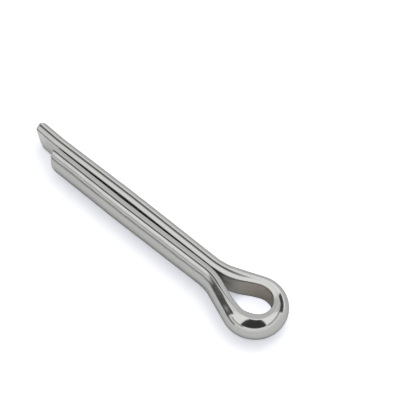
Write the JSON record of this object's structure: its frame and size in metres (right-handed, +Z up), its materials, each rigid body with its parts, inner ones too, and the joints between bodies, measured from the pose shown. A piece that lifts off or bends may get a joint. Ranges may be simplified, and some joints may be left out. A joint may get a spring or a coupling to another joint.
{
  "type": "split cotter pin",
  "caption": "Stainless split pin of half-round wire bent into an open eye and closed legs, one leg longer, to lock a nut or clevis pin through a cross hole.",
  "frame": {"origin": "on the shank's axis, where the neck of the eye ends and the straight legs begin", "axes": "+X along the shank from the eye to the tips; +Z up through the hole of the eye, square to the plane the wire is bent in; the short leg is on the +Y side. At rest the pin lies flat on its side."},
  "size_m": [0.0474, 0.0096, 0.0044],
  "materials": {
    "stainless": "drawn stainless wire, satin along the legs and brighter round the eye, unpainted"
  },
  "bodies": {
    "root": {"cotter_pin": "stainless"}
  },
  "joints": []
}
